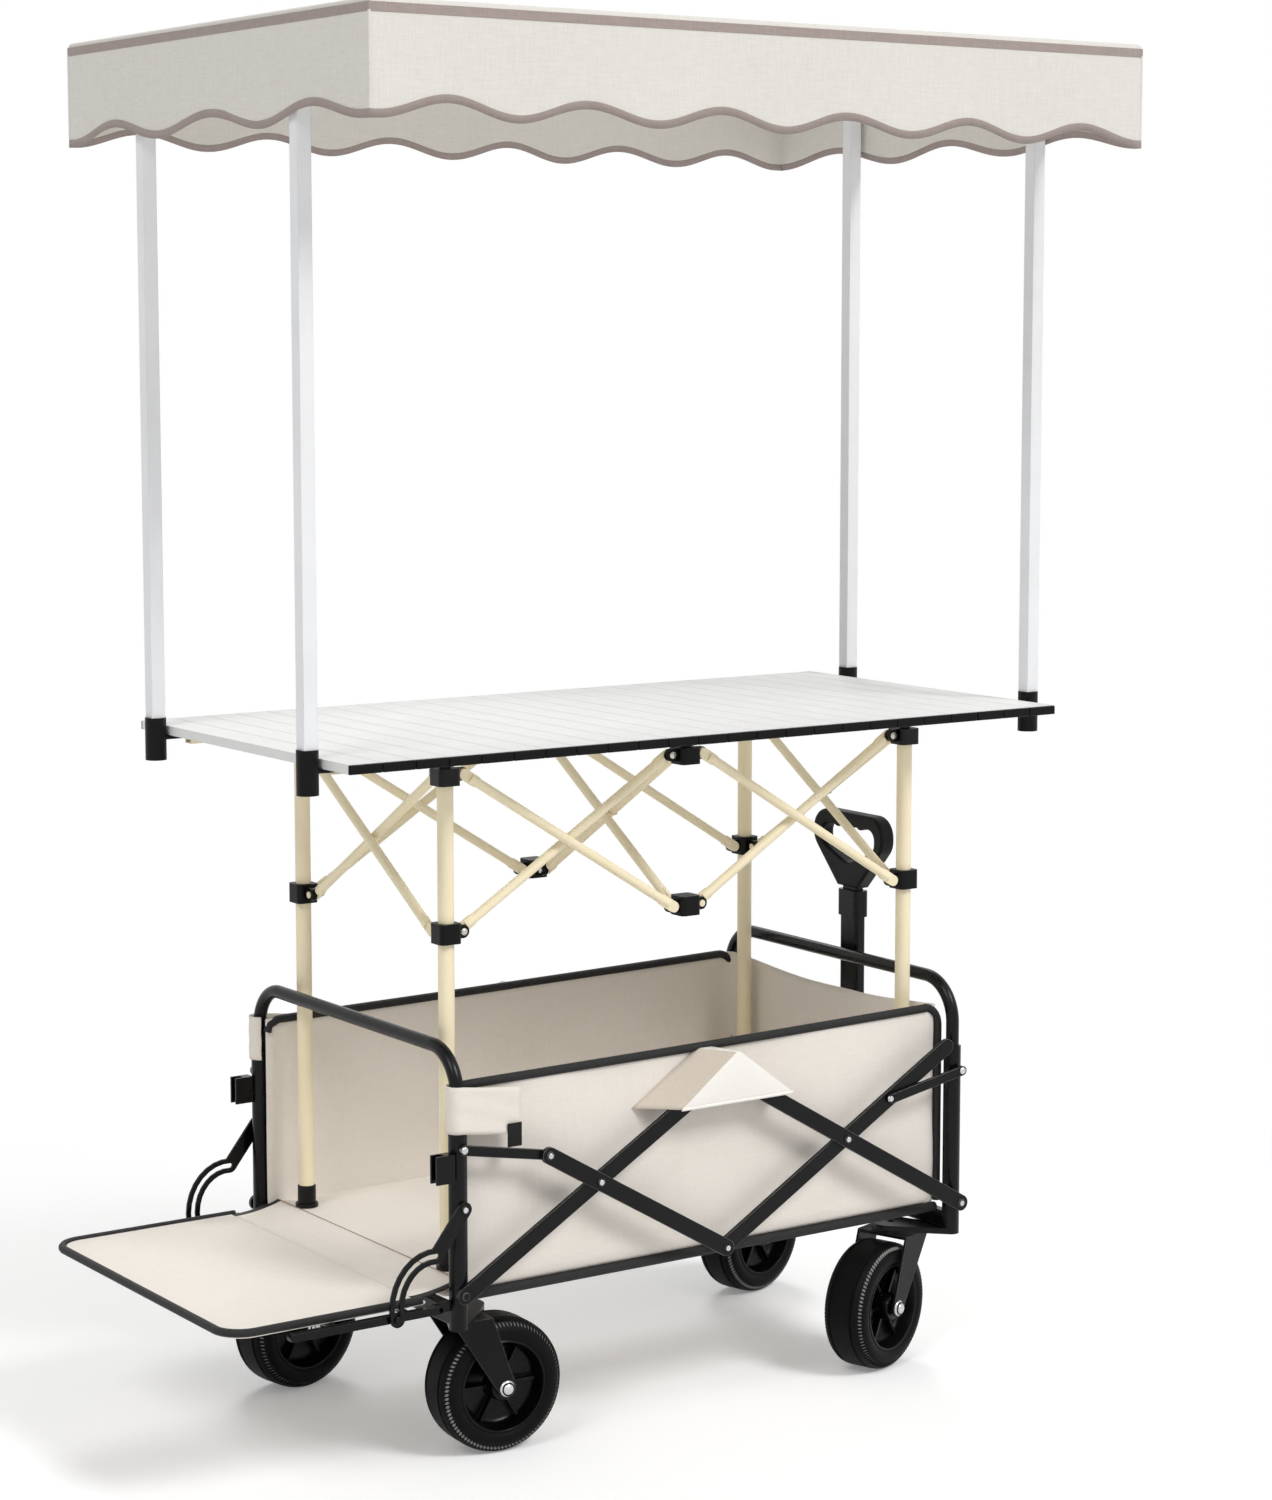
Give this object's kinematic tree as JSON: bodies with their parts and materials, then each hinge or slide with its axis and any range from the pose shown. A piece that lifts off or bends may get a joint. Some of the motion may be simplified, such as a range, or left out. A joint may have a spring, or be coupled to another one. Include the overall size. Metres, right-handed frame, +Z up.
{
  "type": "snack cart",
  "caption": "Folding wagon with a scissor table frame standing in its tub, a roll-up slat top, square poles and a scalloped fabric canopy.",
  "frame": {"origin": "middle of the overall length and width, on the floor", "axes": "+X to the pull-handle end, -X to the open tailgate, -Y to the front, +Z up"},
  "size_m": [1.321, 0.8, 1.82],
  "materials": {
    "black_steel": "satin",
    "black_plastic": "matte",
    "tyre_black": "matte",
    "canvas": "woven",
    "khaki_steel": "satin",
    "slat_aluminium": "satin",
    "white_steel": "satin",
    "canopy_cloth": "woven"
  },
  "bodies": {
    "wagon_tub": {"tub_floor": "canvas", "tub_side_walls": "canvas", "floor_tube": "black_steel"},
    "left_end": {"left_hoop": "black_steel", "left_posts": "black_steel"},
    "right_end": {"right_hoop": "black_steel", "right_posts": "black_steel", "tub_end_wall": "canvas"},
    "left_falling": {"left_falling_bars": "black_steel"},
    "left_rising": {"left_rising_bars": "black_steel"},
    "right_rising": {"right_rising_bars": "black_steel"},
    "right_falling": {"right_falling_bars": "black_steel"},
    "left_link": {"left_links": "black_steel"},
    "right_link": {"right_links": "black_steel"},
    "tailgate": {"tailgate_frame": "black_steel", "tailgate_panel": "canvas"},
    "tailgate_arm": {"tailgate_arms": "black_steel"},
    "handle": {"handle_tube": "black_steel"},
    "handle_inner": {"handle_stem": "black_steel", "handle_grip": "black_plastic"},
    "front_left_caster": {"front_left_fork": "black_steel"},
    "front_left_roller": {"front_left_wheel": "tyre_black"},
    "back_left_caster": {"back_left_fork": "black_steel"},
    "back_left_roller": {"back_left_wheel": "tyre_black"},
    "front_right_caster": {"front_right_fork": "black_steel"},
    "front_right_roller": {"front_right_wheel": "tyre_black"},
    "back_right_caster": {"back_right_fork": "black_steel"},
    "back_right_roller": {"back_right_wheel": "tyre_black"},
    "front_middle_top_hub": {"front_middle_top_hub": "black_plastic"},
    "middle_cross_bar_front": {"middle_cross_bar_front": "khaki_steel"},
    "middle_cross_bar_back": {"middle_cross_bar_back": "khaki_steel"},
    "back_middle_top_hub": {"back_middle_top_hub": "black_plastic"},
    "front_middle_low_hub": {"front_middle_low_hub": "black_plastic"},
    "back_middle_low_hub": {"back_middle_low_hub": "black_plastic"},
    "front_right_falling_bar": {"front_right_falling_bar": "khaki_steel"},
    "front_right_rising_bar": {"front_right_rising_bar": "khaki_steel"},
    "front_right_leg": {"front_right_leg": "khaki_steel"},
    "front_right_low_hub": {"front_right_low_hub": "black_plastic"},
    "front_left_rising_bar": {"front_left_rising_bar": "khaki_steel"},
    "front_left_falling_bar": {"front_left_falling_bar": "khaki_steel"},
    "front_left_leg": {"front_left_leg": "khaki_steel"},
    "front_left_low_hub": {"front_left_low_hub": "black_plastic"},
    "back_right_falling_bar": {"back_right_falling_bar": "khaki_steel"},
    "back_right_rising_bar": {"back_right_rising_bar": "khaki_steel"},
    "back_right_leg": {"back_right_leg": "khaki_steel"},
    "back_right_low_hub": {"back_right_low_hub": "black_plastic"},
    "back_left_rising_bar": {"back_left_rising_bar": "khaki_steel"},
    "back_left_falling_bar": {"back_left_falling_bar": "khaki_steel"},
    "back_left_leg": {"back_left_leg": "khaki_steel"},
    "back_left_low_hub": {"back_left_low_hub": "black_plastic"},
    "left_cross_bar_front": {"left_cross_bar_front": "khaki_steel"},
    "left_cross_bar_back": {"left_cross_bar_back": "khaki_steel"},
    "right_cross_bar_front": {"right_cross_bar_front": "khaki_steel"},
    "right_cross_bar_back": {"right_cross_bar_back": "khaki_steel"},
    "table_top": {"table_slats": "slat_aluminium", "table_rails": "khaki_steel", "pole_sockets": "black_plastic", "poles": "white_steel"},
    "canopy": {"canopy_frame": "white_steel", "canopy_cover": "canopy_cloth"}
  },
  "joints": [
    {"name": "wagon_fold", "type": "slide", "parent": "wagon_tub", "child": "left_end", "axis": [1, 0, 0], "range_m": [0, 0.21], "deforming": ["tub_floor", "tub_side_walls"]},
    {"name": "right_end_fold", "type": "slide", "parent": "wagon_tub", "child": "right_end", "axis": [-1, 0, 0], "range_m": [0, 0.211]},
    {"name": "left_falling_fold", "type": "hinge", "parent": "wagon_tub", "child": "left_falling", "pos_m": [0.0645, 0, 0.236], "axis": [0, 1, 0], "range_deg": [0, 35.7]},
    {"name": "left_rising_fold", "type": "hinge", "parent": "left_falling", "child": "left_rising", "pos_m": [-0.1365, 0, 0.3544], "axis": [0, 1, 0], "range_deg": [-70.9, 0]},
    {"name": "right_rising_fold", "type": "hinge", "parent": "wagon_tub", "child": "right_rising", "pos_m": [0.0645, 0, 0.236], "axis": [0, 1, 0], "range_deg": [-35.7, 0]},
    {"name": "right_falling_fold", "type": "hinge", "parent": "right_rising", "child": "right_falling", "pos_m": [0.2655, 0, 0.3544], "axis": [0, 1, 0], "range_deg": [0, 70.9]},
    {"name": "left_link_fold", "type": "hinge", "parent": "left_end", "child": "left_link", "pos_m": [-0.3375, 0, 0.423], "axis": [0, 1, 0], "range_deg": [-72.31, 0]},
    {"name": "right_link_fold", "type": "hinge", "parent": "right_end", "child": "right_link", "pos_m": [0.4665, 0, 0.423], "axis": [0, 1, 0], "range_deg": [0, 72.31]},
    {"name": "tailgate_hinge", "type": "hinge", "parent": "left_end", "child": "tailgate", "pos_m": [-0.3695, 0, 0.222], "axis": [0, 1, 0], "range_deg": [0, 90]},
    {"name": "tailgate_arm_hinge", "type": "hinge", "parent": "left_end", "child": "tailgate_arm", "pos_m": [-0.3375, 0, 0.347], "axis": [0, 1, 0], "range_deg": [-10.12, 0]},
    {"name": "handle_tilt", "type": "hinge", "parent": "right_end", "child": "handle", "pos_m": [0.4945, 0, 0.218], "axis": [0, 1, 0], "range_deg": [0, 75]},
    {"name": "handle_extension", "type": "slide", "parent": "handle", "child": "handle_inner", "axis": [0, 0, 1], "range_m": [0, 0.15]},
    {"name": "front_left_swivel", "type": "hinge", "parent": "left_end", "child": "front_left_caster", "pos_m": [-0.2875, -0.19, 0.18], "axis": [0, 0, 1], "continuous": true},
    {"name": "front_left_spin", "type": "hinge", "parent": "front_left_caster", "child": "front_left_roller", "pos_m": [-0.2456, -0.19293, 0.0885], "axis": [0.0698, 0.9976, 0], "continuous": true},
    {"name": "back_left_swivel", "type": "hinge", "parent": "left_end", "child": "back_left_caster", "pos_m": [-0.2875, 0.19, 0.18], "axis": [0, 0, 1], "continuous": true},
    {"name": "back_left_spin", "type": "hinge", "parent": "back_left_caster", "child": "back_left_roller", "pos_m": [-0.32886, 0.18271, 0.0885], "axis": [0.1736, -0.9848, 0], "continuous": true},
    {"name": "front_right_swivel", "type": "hinge", "parent": "right_end", "child": "front_right_caster", "pos_m": [0.4165, -0.19, 0.18], "axis": [0, 0, 1], "continuous": true},
    {"name": "front_right_spin", "type": "hinge", "parent": "front_right_caster", "child": "front_right_roller", "pos_m": [0.37679, -0.20367, 0.0885], "axis": [0.3256, -0.9455, 0], "continuous": true},
    {"name": "back_right_swivel", "type": "hinge", "parent": "right_end", "child": "back_right_caster", "pos_m": [0.4165, 0.19, 0.18], "axis": [0, 0, 1], "continuous": true},
    {"name": "back_right_spin", "type": "hinge", "parent": "back_right_caster", "child": "back_right_roller", "pos_m": [0.45725, 0.20016, 0.0885], "axis": [-0.2419, 0.9703, 0], "continuous": true},
    {"name": "table_centring", "type": "slide", "parent": "wagon_tub", "child": "front_middle_top_hub", "axis": [0, 1, 0], "range_m": [0, 0.143]},
    {"name": "middle_cross_bar_front_fold", "type": "hinge", "parent": "front_middle_top_hub", "child": "middle_cross_bar_front", "pos_m": [0.0645, -0.162, 0.884], "axis": [1, 0, 0], "range_deg": [-52.56, 0]},
    {"name": "middle_cross_bar_back_fold", "type": "hinge", "parent": "middle_cross_bar_front", "child": "middle_cross_bar_back", "pos_m": [0.0645, 0, 0.783], "axis": [1, 0, 0], "range_deg": [0, 104.62]},
    {"name": "back_middle_top_hub_fold", "type": "hinge", "parent": "middle_cross_bar_back", "child": "back_middle_top_hub", "pos_m": [0.0645, 0.162, 0.884], "axis": [1, 0, 0], "range_deg": [-52.56, 0]},
    {"name": "front_middle_low_hub_fold", "type": "hinge", "parent": "middle_cross_bar_back", "child": "front_middle_low_hub", "pos_m": [0.0645, -0.162, 0.682], "axis": [1, 0, 0], "range_deg": [-52.56, 0]},
    {"name": "back_middle_low_hub_fold", "type": "hinge", "parent": "middle_cross_bar_front", "child": "back_middle_low_hub", "pos_m": [0.0645, 0.162, 0.682], "axis": [1, 0, 0], "range_deg": [0, 52.56]},
    {"name": "front_right_falling_bar_fold", "type": "hinge", "parent": "front_middle_top_hub", "child": "front_right_falling_bar", "pos_m": [0.0885, -0.186, 0.884], "axis": [0, 1, 0], "range_deg": [0, 52.56]},
    {"name": "front_right_rising_bar_fold", "type": "hinge", "parent": "front_right_falling_bar", "child": "front_right_rising_bar", "pos_m": [0.2505, -0.186, 0.783], "axis": [0, 1, 0], "range_deg": [-104.62, 0]},
    {"name": "front_right_leg_fold", "type": "hinge", "parent": "front_right_rising_bar", "child": "front_right_leg", "pos_m": [0.4125, -0.186, 0.884], "axis": [0, 1, 0], "range_deg": [0, 52.56]},
    {"name": "front_right_low_hub_fold", "type": "hinge", "parent": "front_right_falling_bar", "child": "front_right_low_hub", "pos_m": [0.4125, -0.186, 0.682], "axis": [0, 1, 0], "range_deg": [-52.56, 0]},
    {"name": "front_left_rising_bar_fold", "type": "hinge", "parent": "front_middle_top_hub", "child": "front_left_rising_bar", "pos_m": [0.0405, -0.186, 0.884], "axis": [0, 1, 0], "range_deg": [-52.56, 0]},
    {"name": "front_left_falling_bar_fold", "type": "hinge", "parent": "front_left_rising_bar", "child": "front_left_falling_bar", "pos_m": [-0.1215, -0.186, 0.783], "axis": [0, 1, 0], "range_deg": [0, 104.62]},
    {"name": "front_left_leg_fold", "type": "hinge", "parent": "front_left_falling_bar", "child": "front_left_leg", "pos_m": [-0.2835, -0.186, 0.884], "axis": [0, 1, 0], "range_deg": [-52.56, 0]},
    {"name": "front_left_low_hub_fold", "type": "hinge", "parent": "front_left_rising_bar", "child": "front_left_low_hub", "pos_m": [-0.2835, -0.186, 0.682], "axis": [0, 1, 0], "range_deg": [0, 52.56]},
    {"name": "back_right_falling_bar_fold", "type": "hinge", "parent": "back_middle_top_hub", "child": "back_right_falling_bar", "pos_m": [0.0885, 0.186, 0.884], "axis": [0, 1, 0], "range_deg": [0, 52.56]},
    {"name": "back_right_rising_bar_fold", "type": "hinge", "parent": "back_right_falling_bar", "child": "back_right_rising_bar", "pos_m": [0.2505, 0.186, 0.783], "axis": [0, 1, 0], "range_deg": [-104.62, 0]},
    {"name": "back_right_leg_fold", "type": "hinge", "parent": "back_right_rising_bar", "child": "back_right_leg", "pos_m": [0.4125, 0.186, 0.884], "axis": [0, 1, 0], "range_deg": [0, 52.56]},
    {"name": "back_right_low_hub_fold", "type": "hinge", "parent": "back_right_falling_bar", "child": "back_right_low_hub", "pos_m": [0.4125, 0.186, 0.682], "axis": [0, 1, 0], "range_deg": [-52.56, 0]},
    {"name": "back_left_rising_bar_fold", "type": "hinge", "parent": "back_middle_top_hub", "child": "back_left_rising_bar", "pos_m": [0.0405, 0.186, 0.884], "axis": [0, 1, 0], "range_deg": [-52.56, 0]},
    {"name": "back_left_falling_bar_fold", "type": "hinge", "parent": "back_left_rising_bar", "child": "back_left_falling_bar", "pos_m": [-0.1215, 0.186, 0.783], "axis": [0, 1, 0], "range_deg": [0, 104.62]},
    {"name": "back_left_leg_fold", "type": "hinge", "parent": "back_left_falling_bar", "child": "back_left_leg", "pos_m": [-0.2835, 0.186, 0.884], "axis": [0, 1, 0], "range_deg": [-52.56, 0]},
    {"name": "back_left_low_hub_fold", "type": "hinge", "parent": "back_left_rising_bar", "child": "back_left_low_hub", "pos_m": [-0.2835, 0.186, 0.682], "axis": [0, 1, 0], "range_deg": [0, 52.56]},
    {"name": "left_cross_bar_front_fold", "type": "hinge", "parent": "front_left_leg", "child": "left_cross_bar_front", "pos_m": [-0.3075, -0.162, 0.884], "axis": [1, 0, 0], "range_deg": [-52.56, 0]},
    {"name": "left_cross_bar_back_fold", "type": "hinge", "parent": "back_left_leg", "child": "left_cross_bar_back", "pos_m": [-0.3075, 0.162, 0.884], "axis": [1, 0, 0], "range_deg": [0, 52.56]},
    {"name": "right_cross_bar_front_fold", "type": "hinge", "parent": "front_right_leg", "child": "right_cross_bar_front", "pos_m": [0.4365, -0.162, 0.884], "axis": [1, 0, 0], "range_deg": [-52.56, 0]},
    {"name": "right_cross_bar_back_fold", "type": "hinge", "parent": "back_right_leg", "child": "right_cross_bar_back", "pos_m": [0.4365, 0.162, 0.884], "axis": [1, 0, 0], "range_deg": [0, 52.56]},
    {"name": "table_top_lift", "type": "slide", "parent": "wagon_tub", "child": "table_top", "axis": [0, 0, 1], "range_m": [0, 0.2]},
    {"name": "canopy_lift", "type": "slide", "parent": "table_top", "child": "canopy", "axis": [0, 0, 1], "range_m": [0, 0.2]}
  ],
  "couplings": [
    {"joint": "right_end_fold", "follows": "wagon_fold", "ratio": 1},
    {"joint": "left_falling_fold", "follows": "wagon_fold", "rad_per_m": 2.9255},
    {"joint": "left_rising_fold", "follows": "wagon_fold", "rad_per_m": -5.8509},
    {"joint": "right_rising_fold", "follows": "wagon_fold", "rad_per_m": -2.9255},
    {"joint": "right_falling_fold", "follows": "wagon_fold", "rad_per_m": 5.8509},
    {"joint": "left_link_fold", "follows": "wagon_fold", "rad_per_m": -5.9678},
    {"joint": "right_link_fold", "follows": "wagon_fold", "rad_per_m": 5.9678},
    {"joint": "tailgate_arm_hinge", "follows": "tailgate_hinge", "ratio": -0.10691},
    {"joint": "table_centring", "follows": "wagon_fold", "ratio": 0.6764},
    {"joint": "middle_cross_bar_front_fold", "follows": "wagon_fold", "rad_per_m": -4.3266},
    {"joint": "middle_cross_bar_back_fold", "follows": "wagon_fold", "rad_per_m": 8.6532},
    {"joint": "back_middle_top_hub_fold", "follows": "wagon_fold", "rad_per_m": -4.3266},
    {"joint": "front_middle_low_hub_fold", "follows": "wagon_fold", "rad_per_m": -4.3266},
    {"joint": "back_middle_low_hub_fold", "follows": "wagon_fold", "rad_per_m": 4.3266},
    {"joint": "front_right_falling_bar_fold", "follows": "wagon_fold", "rad_per_m": 4.3266},
    {"joint": "front_right_rising_bar_fold", "follows": "wagon_fold", "rad_per_m": -8.6532},
    {"joint": "front_right_leg_fold", "follows": "wagon_fold", "rad_per_m": 4.3266},
    {"joint": "front_right_low_hub_fold", "follows": "wagon_fold", "rad_per_m": -4.3266},
    {"joint": "front_left_rising_bar_fold", "follows": "wagon_fold", "rad_per_m": -4.3266},
    {"joint": "front_left_falling_bar_fold", "follows": "wagon_fold", "rad_per_m": 8.6532},
    {"joint": "front_left_leg_fold", "follows": "wagon_fold", "rad_per_m": -4.3266},
    {"joint": "front_left_low_hub_fold", "follows": "wagon_fold", "rad_per_m": 4.3266},
    {"joint": "back_right_falling_bar_fold", "follows": "wagon_fold", "rad_per_m": 4.3266},
    {"joint": "back_right_rising_bar_fold", "follows": "wagon_fold", "rad_per_m": -8.6532},
    {"joint": "back_right_leg_fold", "follows": "wagon_fold", "rad_per_m": 4.3266},
    {"joint": "back_right_low_hub_fold", "follows": "wagon_fold", "rad_per_m": -4.3266},
    {"joint": "back_left_rising_bar_fold", "follows": "wagon_fold", "rad_per_m": -4.3266},
    {"joint": "back_left_falling_bar_fold", "follows": "wagon_fold", "rad_per_m": 8.6532},
    {"joint": "back_left_leg_fold", "follows": "wagon_fold", "rad_per_m": -4.3266},
    {"joint": "back_left_low_hub_fold", "follows": "wagon_fold", "rad_per_m": 4.3266},
    {"joint": "left_cross_bar_front_fold", "follows": "wagon_fold", "rad_per_m": -4.3266},
    {"joint": "left_cross_bar_back_fold", "follows": "wagon_fold", "rad_per_m": 4.3266},
    {"joint": "right_cross_bar_front_fold", "follows": "wagon_fold", "rad_per_m": -4.3266},
    {"joint": "right_cross_bar_back_fold", "follows": "wagon_fold", "rad_per_m": 4.3266}
  ]
}
